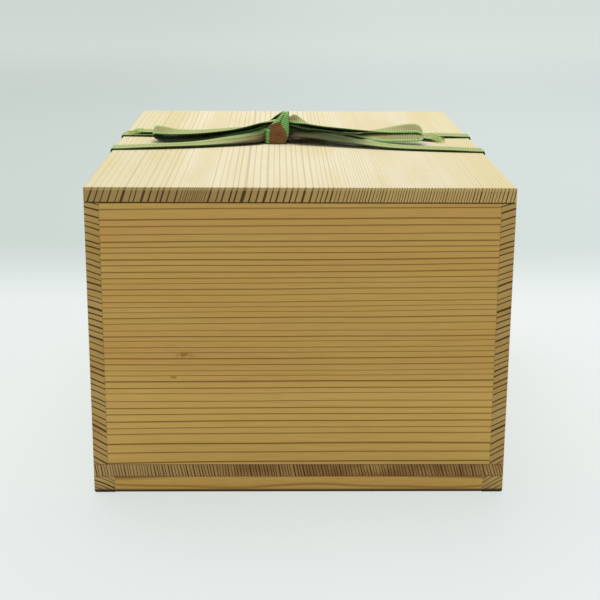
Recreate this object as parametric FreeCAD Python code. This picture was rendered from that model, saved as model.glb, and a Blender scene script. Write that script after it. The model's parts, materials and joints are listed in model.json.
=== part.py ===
import FreeCAD, Part
import math
import os

from FreeCAD import Vector

# A wooden storage box for a tobacco tray: a cedar box on low foot rails with a
# flat lift-off lid, tied twice round with one flat woven cord that ends in a bow.
# Millimetres. Origin at the centre of the base, X to the right, Y to the back, Z up.

# Outer sizes of the closed box
BOX_WIDTH = 210.0
BOX_DEPTH = 295.0
BOX_HEIGHT = 158.8

# Board thicknesses
LID_THICK = 7.5
WALL_THICK = 7.2
BOTTOM_THICK = 6.5

# Foot rails under the bottom board
FOOT_HIGH = 8.8
FOOT_WIDE = 10.6
FOOT_ROUND = 1.2

# Battens under the lid, which drop inside the walls
BATTEN_WIDE = 8.0
BATTEN_HIGH = 7.0
BATTEN_PLAY = 0.8
BATTEN_LEAD = 1.2

# Eased edges of the planed boards, and how far a cutter runs past the wood
EASE = 0.4
CUT_PAST = 1.0
TOLERANCE = 1e-4

# Whittled eight-sided wooden pegs, and the play of a peg in its hole
PEG_SIDES = 8
PEG_RADIUS = 1.2
PEG_PLAY = 0.02
PEG_SINK = 0.3
WALL_PEG_LONG = 24.0
BOTTOM_PEG_LONG = 22.0
FOOT_PEG_LONG = 13.0
BATTEN_PEG_LONG = 11.0

# Flat woven cord, how near an edge it starts to turn, the gap where the cord on the
# lid parts from the cord on the walls, and the steps between two points of a route
# and round the end of a loop
CORD_WIDE = 14.0
CORD_THICK = 1.2
EDGE_BEND = 1.3
JOINT_GAP = 0.3
ROUTE_STEPS = 3
BEND_STEPS = 8

# Notches in the side rails that let the cord pass under the bottom board
NOTCH_WIDE = 17.0
NOTCH_HIGH = 2.6
NOTCH_PLACE = 59.0

# Levels and faces worked out from the sizes above
HALF_WIDTH = BOX_WIDTH / 2
HALF_DEPTH = BOX_DEPTH / 2
BOTTOM_TOP = FOOT_HIGH + BOTTOM_THICK
WALL_TOP = BOX_HEIGHT - LID_THICK
INNER_HALF_WIDTH = HALF_WIDTH - WALL_THICK
INNER_HALF_DEPTH = HALF_DEPTH - WALL_THICK
BATTEN_HALF_WIDTH = INNER_HALF_WIDTH - BATTEN_PLAY
BATTEN_HALF_DEPTH = INNER_HALF_DEPTH - BATTEN_PLAY
BATTEN_BASE = WALL_TOP - BATTEN_HIGH

# Rows of pegs, as distances along the board that each row holds
WALL_PEG_HEIGHTS = [32.0, 66.0, 100.0, 134.0]
SIDE_BOTTOM_PEGS = [-128.0, -88.0, -24.0, 24.0, 88.0, 128.0]
END_BOTTOM_PEGS = [-66.0, 0.0, 66.0]
SIDE_FOOT_PEGS = [-138.0, -106.0, -40.0, 40.0, 106.0, 138.0]
END_FOOT_PEGS = [-78.0, -26.0, 26.0, 78.0]
SIDE_BATTEN_PEGS = [-110.0, -37.0, 37.0, 110.0]
END_BATTEN_PEGS = [-50.0, 0.0, 50.0]

# Where each strand of the cord crosses the lid's left and right edges
FRONT_EDGE_LEFT = -25.0
FRONT_EDGE_RIGHT = -32.0
REAR_EDGE_LEFT = 28.6
REAR_EDGE_RIGHT = 25.5

# The knot: its place along the lid, its length and the cord's gathered section in it
KNOT_X = -11.5
KNOT_LONG = 14.0
WRAP_THICK = 1.3
GATHER_WIDE = 10.0
LOOP_GATHER = 9.0
TAIL_GATHER = 8.0
KNOT_LEFT = KNOT_X - KNOT_LONG / 2
KNOT_RIGHT = KNOT_X + KNOT_LONG / 2

# Routes over the lid. Each point is: place along X, place along Y, height of the
# strand's lower edge over the lid, roll in degrees (rear edge up), and width.
FRONT_ROUTE = [
    (-103.6, FRONT_EDGE_LEFT, 0.0, 0, CORD_WIDE),
    (-88.0, -23.4, 0.0, 0, CORD_WIDE),
    (-72.0, -20.8, 0.0, 0, CORD_WIDE),
    (-57.0, -17.2, 0.0, 2, CORD_WIDE),
    (-39.0, -11.0, 0.0, 6, CORD_WIDE),
    (-30.0, -7.6, 0.0, 14, CORD_WIDE),
    (-21.0, -3.6, 0.3, 28, CORD_WIDE),
    (KNOT_LEFT, -1.5, 1.5, 45, GATHER_WIDE),
    (KNOT_RIGHT, -1.5, 1.5, 45, GATHER_WIDE),
    (0.0, -2.2, 2.6, 18, CORD_WIDE),
    (6.0, -3.6, 3.0, 10, CORD_WIDE),
    (14.0, -5.8, 2.4, 6, CORD_WIDE),
    (26.0, -9.6, 1.2, 4, CORD_WIDE),
    (40.0, -14.4, 0.4, 2, CORD_WIDE),
    (56.0, -19.4, 0.0, 0, CORD_WIDE),
    (72.0, -24.0, 0.0, 0, CORD_WIDE),
    (88.0, -28.2, 0.0, 0, CORD_WIDE),
    (103.6, FRONT_EDGE_RIGHT, 0.0, 0, CORD_WIDE),
]
REAR_ROUTE = [
    (-103.6, REAR_EDGE_LEFT, 0.0, 0, CORD_WIDE),
    (-88.0, 27.2, 0.0, 0, CORD_WIDE),
    (-72.0, 24.2, 0.0, 0, CORD_WIDE),
    (-57.0, 20.2, 0.0, -5, CORD_WIDE),
    (-39.0, 15.8, 0.0, -13, CORD_WIDE),
    (-30.0, 13.6, 0.0, -22, CORD_WIDE),
    (-21.0, 11.2, 0.3, -33, CORD_WIDE),
    (KNOT_LEFT, 9.5, 1.5, -45, GATHER_WIDE),
    (KNOT_RIGHT, 9.5, 1.5, -45, GATHER_WIDE),
    (-2.0, 11.2, 0.3, -33, CORD_WIDE),
    (8.0, 13.4, 0.0, -22, CORD_WIDE),
    (18.0, 15.6, 0.0, -13, CORD_WIDE),
    (34.0, 19.0, 0.0, -5, CORD_WIDE),
    (52.0, 22.0, 0.0, 0, CORD_WIDE),
    (70.0, 24.2, 0.0, 0, CORD_WIDE),
    (88.0, 25.2, 0.0, 0, CORD_WIDE),
    (103.6, REAR_EDGE_RIGHT, 0.0, 0, CORD_WIDE),
]

# Routes of the bow. Each point is: place along X, place along Y, height of the
# cord's middle over the lid, roll in degrees (rear edge up), and width.
LEFT_LOOP_UPPER = [
    (KNOT_X, 4.0, 12.4, 0, LOOP_GATHER),
    (KNOT_LEFT, 3.6, 12.2, -2, LOOP_GATHER),
    (-22.0, 3.2, 11.8, -9, 12.0),
    (-30.0, 2.8, 9.0, -7, CORD_WIDE),
    (-39.0, 2.6, 7.0, -1, CORD_WIDE),
    (-56.0, 3.4, 5.2, 1, CORD_WIDE),
    (-70.0, 4.0, 5.0, 4, CORD_WIDE),
    (-79.0, 4.2, 6.2, 13, CORD_WIDE),
    (-82.0, 4.2, 6.6, 14, CORD_WIDE),
]
LEFT_LOOP_LOWER = [
    (-82.0, 4.2, 1.3, 4, CORD_WIDE),
    (-70.0, 3.4, 1.1, 2, CORD_WIDE),
    (-57.0, 2.6, 1.4, 0, CORD_WIDE),
    (-48.0, 2.0, 2.6, 4, CORD_WIDE),
    (-39.0, 1.8, 4.6, 7, CORD_WIDE),
    (-30.0, 2.6, 6.7, 5, CORD_WIDE),
    (-22.0, 3.6, 9.2, 4, 12.0),
    (KNOT_LEFT, 4.0, 10.3, 0, LOOP_GATHER),
    (KNOT_X, 4.0, 10.3, 0, LOOP_GATHER),
]
RIGHT_LOOP_UPPER = [
    (KNOT_X, 4.0, 12.4, 0, LOOP_GATHER),
    (KNOT_RIGHT, 4.2, 12.8, 6, LOOP_GATHER),
    (0.0, 5.0, 13.6, 26, 11.0),
    (5.0, 5.2, 12.9, 22, CORD_WIDE),
    (14.0, 4.4, 10.6, 8, CORD_WIDE),
    (28.0, 2.6, 8.4, -4, CORD_WIDE),
    (44.0, 0.2, 6.6, -4, CORD_WIDE),
    (54.0, -1.4, 7.0, 4, CORD_WIDE),
    (64.0, -2.6, 8.6, 14, CORD_WIDE),
    (70.0, -3.0, 8.9, 15, CORD_WIDE),
]
RIGHT_LOOP_LOWER = [
    (70.0, -3.0, 2.6, 12, CORD_WIDE),
    (58.0, -2.6, 2.5, 9, CORD_WIDE),
    (44.0, -0.6, 3.3, 9, CORD_WIDE),
    (37.0, 0.8, 4.3, 8, CORD_WIDE),
    (28.0, 2.2, 5.5, 7, CORD_WIDE),
    (14.0, 3.0, 7.5, 7, CORD_WIDE),
    (5.0, 3.4, 8.8, 8, CORD_WIDE),
    (0.0, 3.8, 9.8, 5, 11.0),
    (KNOT_RIGHT, 4.0, 10.3, 0, LOOP_GATHER),
    (KNOT_X, 4.0, 10.3, 0, LOOP_GATHER),
]
# The two ends of the cord lie along the rear strand and on it.
LEFT_TAIL = [
    (KNOT_X, 11.3, 5.6, -45, TAIL_GATHER),
    (KNOT_LEFT, 11.3, 5.6, -45, TAIL_GATHER),
    (-21.0, 13.7, 4.9, -33, 10.0),
    (-30.0, 16.4, 3.8, -22, 12.0),
    (-39.0, 17.6, 3.3, -13, CORD_WIDE),
    (-57.0, 21.8, 2.6, -5, CORD_WIDE),
    (-72.0, 25.7, 2.1, 0, CORD_WIDE),
    (-88.0, 28.7, 2.1, 0, CORD_WIDE),
    (-97.0, 29.6, 2.1, 0, CORD_WIDE),
]
RIGHT_TAIL = [
    (KNOT_X, 11.3, 5.6, -45, TAIL_GATHER),
    (KNOT_RIGHT, 11.3, 5.6, -45, TAIL_GATHER),
    (-2.0, 13.7, 4.7, -33, 10.0),
    (8.0, 16.4, 3.6, -22, 12.0),
    (18.0, 17.4, 3.2, -13, CORD_WIDE),
    (34.0, 20.1, 2.6, -5, CORD_WIDE),
    (48.0, 21.6, 2.2, 0, CORD_WIDE),
    (58.0, 20.6, 2.1, 2, CORD_WIDE),
    (67.0, 17.6, 2.1, 4, CORD_WIDE),
    (75.0, 13.6, 2.0, 6, CORD_WIDE),
    (81.5, 9.6, 1.8, 7, CORD_WIDE),
]

# The wrap of the knot, seen along X: place along Y, height over the lid, width
# along X and the middle of that width.
WRAP_ROUTE = [
    (4.7, 0.65, KNOT_LONG, KNOT_X),
    (-5.6, 0.65, KNOT_LONG, KNOT_X),
    (-7.2, 1.6, KNOT_LONG, KNOT_X),
    (-7.0, 4.5, 14.4, KNOT_X + 0.2),
    (-5.4, 8.8, 14.0, KNOT_X + 0.3),
    (-2.8, 12.5, 9.2, KNOT_X + 2.4),
    (0.0, 15.6, 5.6, KNOT_X + 4.2),
    (3.0, 17.6, 3.6, KNOT_X + 5.2),
    (6.2, 16.4, 5.4, KNOT_X + 4.4),
    (10.4, 13.4, 10.0, KNOT_X + 2.0),
    (14.6, 8.4, KNOT_LONG, KNOT_X),
    (17.2, 2.8, KNOT_LONG, KNOT_X),
    (16.0, 0.75, KNOT_LONG, KNOT_X),
    (5.3, 0.65, KNOT_LONG, KNOT_X),
]


def board(x_low, x_high, y_low, y_high, z_low, z_high):
    """A plain board between two corners."""
    corner = Vector(x_low, y_low, z_low)
    return Part.makeBox(x_high - x_low, y_high - y_low, z_high - z_low, corner)


def edges_on(solid, places):
    """Edges that lie in every named plane, such as {"X": 105.0, "Z": 8.0}."""
    found = []
    for edge in solid.Edges:
        box = edge.BoundBox
        spans = {"X": (box.XMin, box.XMax), "Y": (box.YMin, box.YMax), "Z": (box.ZMin, box.ZMax)}
        if all(abs(end - at) < TOLERANCE for axis, at in places.items() for end in spans[axis]):
            found.append(edge)
    return found


def ease(solid, places_list, size=EASE):
    """Plane a small flat along the edges named by their planes."""
    edges = []
    for places in places_list:
        edges.extend(edges_on(solid, places))
    return solid.makeChamfer(size, edges)


def peg(foot, direction, length, radius=PEG_RADIUS):
    """One eight-sided peg, or the hole for it, driven from its foot along X or Z."""
    side = Vector(0, 1, 0)
    over = direction.cross(side)
    corners = []
    for step in range(PEG_SIDES):
        turn = 2 * math.pi * (step + 0.5) / PEG_SIDES
        corners.append(foot + side * (radius * math.cos(turn)) + over * (radius * math.sin(turn)))
    corners.append(corners[0])
    return Part.Face(Part.makePolygon(corners)).extrude(direction * length)


def bored(solid, pegs, length):
    """The board with a hole for each peg that is given as (foot, direction)."""
    holes = [peg(foot, way, length, PEG_RADIUS + PEG_PLAY) for foot, way in pegs]
    return solid.cut(holes)


def peg_group(pegs, length):
    """All pegs of one kind, as separate solids in one group."""
    return Part.makeCompound([peg(foot, way, length) for foot, way in pegs])


def write(name, solid):
    """Export one named piece and report its solids and volume."""
    assert solid.isValid(), name
    solid.exportStep("parts/%s.step" % name)
    print("%-22s solids %2d  volume %.1f" % (name, len(solid.Solids), solid.Volume))


def section(middle, across, normal, wide, thick):
    """A rectangle of the cord at one point of its route."""
    half_wide = across * (wide / 2)
    half_thick = normal * (thick / 2)
    corners = [middle - half_wide - half_thick, middle + half_wide - half_thick,
               middle + half_wide + half_thick, middle - half_wide + half_thick]
    corners.append(corners[0])
    return Part.makePolygon(corners)


def lying(x, y, z, roll, wide, face=1):
    """Section of a cord along X, rolled so that its rear edge rises; face -1 is face down."""
    turn = math.radians(roll)
    across = Vector(0, math.cos(turn), math.sin(turn))
    normal = Vector(0, -math.sin(turn), math.cos(turn)) * face
    return section(Vector(x, y, z), across, normal, wide, CORD_THICK)


def on_lid(point):
    """Section for a route point whose height is that of the cord's lower edge."""
    x, y, low, roll, wide = point
    turn = math.radians(abs(roll))
    rise = wide / 2 * math.sin(turn) + CORD_THICK / 2 * math.cos(turn)
    return lying(x, y, BOX_HEIGHT + max(low, 0) + rise, roll, wide)


def smoothed(route):
    """The route with points added between its own, on even curves along X."""
    slopes = []
    for index in range(len(route)):
        before = route[max(index - 1, 0)]
        after = route[min(index + 1, len(route) - 1)]
        slopes.append([(b - a) / (after[0] - before[0]) for a, b in zip(before, after)])
    points = [route[0]]
    for index in range(len(route) - 1):
        span = route[index + 1][0] - route[index][0]
        for step in range(1, ROUTE_STEPS + 1):
            t = step / ROUTE_STEPS
            u = 1 - t
            points.append([u * u * (1 + 2 * t) * a + t * t * (1 + 2 * u) * b
                           + t * u * span * (u * slope_a - t * slope_b)
                           for a, b, slope_a, slope_b in zip(route[index], route[index + 1],
                                                             slopes[index], slopes[index + 1])])
    return points


def over_lid(point, face=1):
    """Section for a route point whose height is that of the cord's middle."""
    x, y, middle, roll, wide = point
    return lying(x, y, BOX_HEIGHT + middle, roll, wide, face)


def turned(x, y, z, lean, roll=0):
    """Section of a cord that turns about Y; lean 0 faces up, 90 faces out along X."""
    turn = math.radians(lean)
    tilt = math.radians(roll)
    across = Vector(0, math.cos(tilt), math.sin(tilt))
    normal = Vector(math.sin(turn), -math.sin(tilt) * math.cos(turn), math.cos(tilt) * math.cos(turn))
    return section(Vector(x, y, z), across, normal, CORD_WIDE, CORD_THICK)


def span_faces(one, other):
    """The flat face between two edges of neighbouring sections, or two where it is twisted."""
    a, b = (vertex.Point for vertex in one.Vertexes)
    d, c = (vertex.Point for vertex in other.Vertexes)
    lean = (b - a).cross(c - a)
    if abs((d - a).dot(lean)) < TOLERANCE * max(lean.Length, TOLERANCE):
        return [Part.Face(Part.makePolygon([a, b, c, d, a]))]
    return [Part.Face(Part.makePolygon([a, b, c, a])), Part.Face(Part.makePolygon([a, c, d, a]))]


def ribbon(sections):
    """One solid band through its sections, in flat spans."""
    faces = [Part.Face(sections[0]), Part.Face(sections[-1])]
    for first, second in zip(sections, sections[1:]):
        for one, other in zip(first.Edges, second.Edges):
            faces.extend(span_faces(one, other))
    shell = Part.Shell(faces)
    shell.sewShape()
    solid = Part.Solid(shell)
    if solid.Volume < 0:
        solid.reverse()
    return solid


def side_place(edge_y, slot_y, z):
    """Place along Y of a strand on the box's side, between its slot and the lid's edge."""
    return slot_y + (edge_y - slot_y) * (z - FOOT_HIGH) / (BOX_HEIGHT - FOOT_HIGH)


def over_edge(side, edge_y, slot_y):
    """Sections from the lid's underside up its edge, round the corner and onto the top."""
    out = HALF_WIDTH + CORD_THICK / 2
    corner = CORD_THICK / 2 * math.sqrt(0.5)
    low = WALL_TOP + JOINT_GAP / 2
    high = BOX_HEIGHT - EDGE_BEND
    return [
        turned(side * out, side_place(edge_y, slot_y, low), low, 90 * side),
        turned(side * out, side_place(edge_y, slot_y, high), high, 90 * side),
        turned(side * (HALF_WIDTH + corner), edge_y, BOX_HEIGHT + corner, 45 * side),
    ]


def top_strand(route, left_edge, right_edge, slot_y):
    """A strand over the lid, from the lid's left underside to its right underside."""
    left = over_edge(-1, left_edge, slot_y)
    right = over_edge(1, right_edge, slot_y)
    return ribbon(left + [on_lid(point) for point in smoothed(route)] + right[::-1])


def lower_strand(left_edge, right_edge, slot_y):
    """A strand down one side, through both side rails under the bottom, and up again."""
    out = HALF_WIDTH + CORD_THICK / 2
    corner = CORD_THICK / 2 * math.sqrt(0.5)
    under = FOOT_HIGH - CORD_THICK / 2
    top = WALL_TOP - JOINT_GAP / 2
    legs = {}
    for side, edge_y in ((-1, left_edge), (1, right_edge)):
        legs[side] = [
            turned(side * out, side_place(edge_y, slot_y, top), top, 90 * side),
            turned(side * out, slot_y, FOOT_HIGH + EDGE_BEND, 90 * side),
            turned(side * (HALF_WIDTH + corner), slot_y, FOOT_HIGH - corner, 135 * side),
            turned(side * (HALF_WIDTH - EDGE_BEND), slot_y, under, 180 * side),
        ]
    return ribbon(legs[-1] + legs[1][::-1])


def bend(last, first, side):
    """Sections round the end of a loop, from its last upper point to its first lower one."""
    x, y, high, roll = last[:4]
    low, low_roll = first[2:4]
    radius = (high - low) / 2
    middle = BOX_HEIGHT + (high + low) / 2
    sections = []
    for step in range(1, BEND_STEPS):
        lean = 180 * step / BEND_STEPS
        turn = math.radians(lean)
        tilt = roll + (low_roll - roll) * lean / 180
        sections.append(turned(x + side * radius * math.sin(turn), y,
                               middle + radius * math.cos(turn), side * lean, tilt))
    return sections


def loop(upper, lower, side):
    """A loop of the bow: out along the upper band, round its end and back below."""
    out = [over_lid(point) for point in smoothed(upper)]
    back = [over_lid(point, -1) for point in smoothed(lower)]
    return ribbon(out + bend(upper[-1], lower[0], side) + back)


def knot_wrap():
    """The band of cord that holds both strands, wound once round them."""
    points = [Vector(0, y, BOX_HEIGHT + z) for y, z, wide, x in WRAP_ROUTE]
    sections = []
    for index, (y, z, wide, x) in enumerate(WRAP_ROUTE):
        before = points[max(index - 1, 0)]
        after = points[min(index + 1, len(points) - 1)]
        along = (after - before).normalize()
        normal = along.cross(Vector(1, 0, 0))
        middle = Vector(x, points[index].y, points[index].z)
        sections.append(section(middle, Vector(1, 0, 0), normal, wide, WRAP_THICK))
    return ribbon(sections)


def tail(route):
    """A cut end of the cord, from the knot outward."""
    return ribbon([over_lid(point) for point in smoothed(route)])


def peg_rows():
    """Every row of pegs, each peg as its foot and the way it is driven."""
    up = Vector(0, 0, 1)
    wall_line = HALF_WIDTH - WALL_THICK / 2
    end_line = HALF_DEPTH - WALL_THICK / 2
    foot_line = HALF_WIDTH - FOOT_WIDE / 2
    foot_end = HALF_DEPTH - FOOT_WIDE / 2
    batten_line = BATTEN_HALF_WIDTH - BATTEN_WIDE / 2
    batten_end = BATTEN_HALF_DEPTH - BATTEN_WIDE / 2
    rows = {"wall": [], "bottom": [], "foot": [], "batten": []}
    for side in (-1, 1):
        inward = Vector(-side, 0, 0)
        for end in (-1, 1):
            for height in WALL_PEG_HEIGHTS:
                foot = Vector(side * HALF_WIDTH, end * end_line, height)
                rows["wall"].append((foot, inward))
        for y in SIDE_BOTTOM_PEGS:
            rows["bottom"].append((Vector(side * wall_line, y, FOOT_HIGH), up))
        for x in END_BOTTOM_PEGS:
            rows["bottom"].append((Vector(x, side * end_line, FOOT_HIGH), up))
        for y in SIDE_FOOT_PEGS:
            rows["foot"].append((Vector(side * foot_line, y, PEG_SINK), up))
        for x in END_FOOT_PEGS:
            rows["foot"].append((Vector(x, side * foot_end, PEG_SINK), up))
        for y in SIDE_BATTEN_PEGS:
            rows["batten"].append((Vector(side * batten_line, y, BATTEN_BASE), up))
        for x in END_BATTEN_PEGS:
            rows["batten"].append((Vector(x, side * batten_end, BATTEN_BASE), up))
    return rows


def hole_row(pegs, back):
    """The same pegs with their feet drawn back, so that a hole opens past the face."""
    return [(foot - way * back, way) for foot, way in pegs]


def make_walls(rows):
    """Four wall boards; the side boards run past the ends of the front and rear boards."""
    wall_holes = hole_row(rows["wall"], PEG_SINK)
    bottom_holes = hole_row(rows["bottom"], PEG_SINK)
    for name, side in (("wall_left", -1), ("wall_right", 1)):
        inner, outer = sorted((side * INNER_HALF_WIDTH, side * HALF_WIDTH))
        wall = board(inner, outer, -HALF_DEPTH, HALF_DEPTH, BOTTOM_TOP, WALL_TOP)
        face = side * HALF_WIDTH
        wall = ease(wall, [{"X": face, "Z": WALL_TOP}, {"X": face, "Y": HALF_DEPTH},
                           {"X": face, "Y": -HALF_DEPTH}, {"Y": HALF_DEPTH, "Z": WALL_TOP},
                           {"Y": -HALF_DEPTH, "Z": WALL_TOP}])
        wall = bored(wall, wall_holes, WALL_PEG_LONG + PEG_SINK)
        write(name, bored(wall, bottom_holes, BOTTOM_PEG_LONG + PEG_SINK))
    for name, end in (("wall_front", -1), ("wall_rear", 1)):
        near, far = sorted((end * INNER_HALF_DEPTH, end * HALF_DEPTH))
        wall = board(-INNER_HALF_WIDTH, INNER_HALF_WIDTH, near, far, BOTTOM_TOP, WALL_TOP)
        wall = ease(wall, [{"Y": end * HALF_DEPTH, "Z": WALL_TOP}])
        wall = bored(wall, wall_holes, WALL_PEG_LONG + PEG_SINK)
        write(name, bored(wall, bottom_holes, BOTTOM_PEG_LONG + PEG_SINK))
    write("wall_pegs", peg_group(rows["wall"], WALL_PEG_LONG))


def make_base(rows):
    """The bottom board and the four rails that it stands on."""
    bottom = board(-HALF_WIDTH, HALF_WIDTH, -HALF_DEPTH, HALF_DEPTH, FOOT_HIGH, BOTTOM_TOP)
    bottom = ease(bottom, [{"X": side * HALF_WIDTH, "Y": end * HALF_DEPTH}
                           for side in (-1, 1) for end in (-1, 1)])
    bottom = bored(bottom, hole_row(rows["bottom"], PEG_SINK), BOTTOM_PEG_LONG + PEG_SINK)
    bottom = bored(bottom, rows["foot"], FOOT_PEG_LONG)
    write("bottom_board", bottom)
    write("bottom_pegs", peg_group(rows["bottom"], BOTTOM_PEG_LONG))
    foot_holes = hole_row(rows["foot"], 2 * PEG_SINK)
    rail_inner = HALF_WIDTH - FOOT_WIDE
    for name, side in (("foot_rail_left", -1), ("foot_rail_right", 1)):
        inner, outer = sorted((side * rail_inner, side * HALF_WIDTH))
        rail = board(inner, outer, -HALF_DEPTH, HALF_DEPTH, 0, FOOT_HIGH)
        face = side * HALF_WIDTH
        rail = rail.makeFillet(FOOT_ROUND, edges_on(rail, {"X": face, "Z": 0}))
        rail = ease(rail, [{"X": face, "Y": end * HALF_DEPTH} for end in (-1, 1)])
        for slot_y in (-NOTCH_PLACE, NOTCH_PLACE):
            notch = board(inner - CUT_PAST, outer + CUT_PAST,
                          slot_y - NOTCH_WIDE / 2, slot_y + NOTCH_WIDE / 2,
                          FOOT_HIGH - NOTCH_HIGH, FOOT_HIGH + CUT_PAST)
            rail = rail.cut(notch)
        write(name, bored(rail, foot_holes, FOOT_PEG_LONG + 2 * PEG_SINK))
    for name, end in (("foot_rail_front", -1), ("foot_rail_rear", 1)):
        near, far = sorted((end * (HALF_DEPTH - FOOT_WIDE), end * HALF_DEPTH))
        rail = board(-rail_inner, rail_inner, near, far, 0, FOOT_HIGH)
        rail = rail.makeFillet(FOOT_ROUND, edges_on(rail, {"Y": end * HALF_DEPTH, "Z": 0}))
        write(name, bored(rail, foot_holes, FOOT_PEG_LONG + 2 * PEG_SINK))
    write("foot_pegs", peg_group(rows["foot"], FOOT_PEG_LONG))


def make_lid(rows):
    """The flat lid board and the frame of battens that keeps it in place."""
    holes = hole_row(rows["batten"], PEG_SINK)
    lid = board(-HALF_WIDTH, HALF_WIDTH, -HALF_DEPTH, HALF_DEPTH, WALL_TOP, BOX_HEIGHT)
    outline = [{"X": side * HALF_WIDTH, "Y": end * HALF_DEPTH} for side in (-1, 1) for end in (-1, 1)]
    for level in (WALL_TOP, BOX_HEIGHT):
        outline.extend({"X": side * HALF_WIDTH, "Z": level} for side in (-1, 1))
        outline.extend({"Y": end * HALF_DEPTH, "Z": level} for end in (-1, 1))
    write("lid_board", bored(ease(lid, outline), rows["batten"], BATTEN_PEG_LONG))
    for name, side in (("lid_batten_left", -1), ("lid_batten_right", 1)):
        inner, outer = sorted((side * (BATTEN_HALF_WIDTH - BATTEN_WIDE), side * BATTEN_HALF_WIDTH))
        batten = board(inner, outer, -BATTEN_HALF_DEPTH, BATTEN_HALF_DEPTH, BATTEN_BASE, WALL_TOP)
        lead = [{"X": side * BATTEN_HALF_WIDTH, "Z": BATTEN_BASE}]
        write(name, bored(ease(batten, lead, BATTEN_LEAD), holes, BATTEN_PEG_LONG + PEG_SINK))
    inside = BATTEN_HALF_WIDTH - BATTEN_WIDE
    for name, end in (("lid_batten_front", -1), ("lid_batten_rear", 1)):
        near, far = sorted((end * (BATTEN_HALF_DEPTH - BATTEN_WIDE), end * BATTEN_HALF_DEPTH))
        batten = board(-inside, inside, near, far, BATTEN_BASE, WALL_TOP)
        lead = [{"Y": end * BATTEN_HALF_DEPTH, "Z": BATTEN_BASE}]
        write(name, bored(ease(batten, lead, BATTEN_LEAD), holes, BATTEN_PEG_LONG + PEG_SINK))
    write("batten_pegs", peg_group(rows["batten"], BATTEN_PEG_LONG))


def make_cord():
    """The flat cord: lower strands, strands over the lid, knot, loops and tails."""
    write("cord_front_lower", lower_strand(FRONT_EDGE_LEFT, FRONT_EDGE_RIGHT, -NOTCH_PLACE))
    write("cord_rear_lower", lower_strand(REAR_EDGE_LEFT, REAR_EDGE_RIGHT, NOTCH_PLACE))
    write("cord_front_top", top_strand(FRONT_ROUTE, FRONT_EDGE_LEFT, FRONT_EDGE_RIGHT, -NOTCH_PLACE))
    write("cord_rear_top", top_strand(REAR_ROUTE, REAR_EDGE_LEFT, REAR_EDGE_RIGHT, NOTCH_PLACE))
    write("cord_knot", knot_wrap())
    write("cord_loop_left", loop(LEFT_LOOP_UPPER, LEFT_LOOP_LOWER, -1))
    write("cord_loop_right", loop(RIGHT_LOOP_UPPER, RIGHT_LOOP_LOWER, 1))
    write("cord_tail_left", tail(LEFT_TAIL))
    write("cord_tail_right", tail(RIGHT_TAIL))


def main():
    os.makedirs("parts", exist_ok=True)
    rows = peg_rows()
    make_base(rows)
    make_walls(rows)
    make_lid(rows)
    make_cord()


main()
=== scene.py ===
"""Looks of a tied cedar box: straight-grained boards and one flat woven cord in a bow.

Lengths are in metres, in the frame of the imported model: X to the right, Y to the rear and
Z up, with the origin at the middle of the footprint.
"""

from __future__ import annotations

import json
import logging
import math
from dataclasses import dataclass, field
from enum import Enum

import bpy
import numpy as np
from mathutils import Matrix, Vector

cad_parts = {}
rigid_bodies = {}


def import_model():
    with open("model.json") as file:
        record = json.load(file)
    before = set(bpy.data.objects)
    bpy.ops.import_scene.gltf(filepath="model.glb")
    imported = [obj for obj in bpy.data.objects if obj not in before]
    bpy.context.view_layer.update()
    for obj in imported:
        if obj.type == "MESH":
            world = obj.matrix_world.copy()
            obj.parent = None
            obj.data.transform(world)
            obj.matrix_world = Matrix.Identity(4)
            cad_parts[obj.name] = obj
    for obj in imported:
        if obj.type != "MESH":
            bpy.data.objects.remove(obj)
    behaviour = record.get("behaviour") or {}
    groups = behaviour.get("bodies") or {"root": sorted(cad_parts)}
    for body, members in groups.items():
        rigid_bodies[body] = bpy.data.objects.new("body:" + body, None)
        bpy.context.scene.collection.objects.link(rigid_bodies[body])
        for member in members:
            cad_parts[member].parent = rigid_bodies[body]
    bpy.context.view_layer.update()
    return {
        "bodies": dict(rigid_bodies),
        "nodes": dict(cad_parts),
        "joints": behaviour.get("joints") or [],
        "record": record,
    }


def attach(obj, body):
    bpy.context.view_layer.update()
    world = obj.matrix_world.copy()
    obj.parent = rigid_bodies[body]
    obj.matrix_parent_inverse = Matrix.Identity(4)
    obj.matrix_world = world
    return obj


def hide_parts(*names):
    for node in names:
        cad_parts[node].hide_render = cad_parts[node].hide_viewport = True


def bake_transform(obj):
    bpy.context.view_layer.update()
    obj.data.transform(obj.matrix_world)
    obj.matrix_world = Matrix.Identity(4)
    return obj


LOG = logging.getLogger("tied_box")
NUMBER = "NodeSocketFloat"
VECTOR = "NodeSocketVector"

Colour = tuple[float, float, float, float]
Place = tuple[float, float, float]
Run = tuple[tuple[float, float], ...]
Socket = bpy.types.NodeSocket
Outputs = bpy.types.bpy_prop_collection

NONE: Run = ((0.0, 0.0), (1.0, 0.0))
FULL: Run = ((0.0, 1.0), (1.0, 1.0))
FRAME: dict = {}


def srgb(red: int, green: int, blue: int) -> Colour:
    """Turns a display colour into the linear one that a socket takes.

    Args:
        red: The red part, 0 to 255.
        green: The green part.
        blue: The blue part.

    Returns:
        The linear colour, which is opaque.
    """
    parts = []
    for part in (red, green, blue):
        share = part / 255.0
        parts.append(share / 12.92 if share <= 0.04045 else ((share + 0.055) / 1.055) ** 2.4)
    return (parts[0], parts[1], parts[2], 1.0)


class Grain(Enum):
    """The way that the fibres of a board run."""

    ACROSS = (1.0, 0.0, 0.0)
    DEEP = (0.0, 1.0, 0.0)


class Body(Enum):
    """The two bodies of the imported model."""

    BOX = "box"
    LID = "lid"


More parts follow.
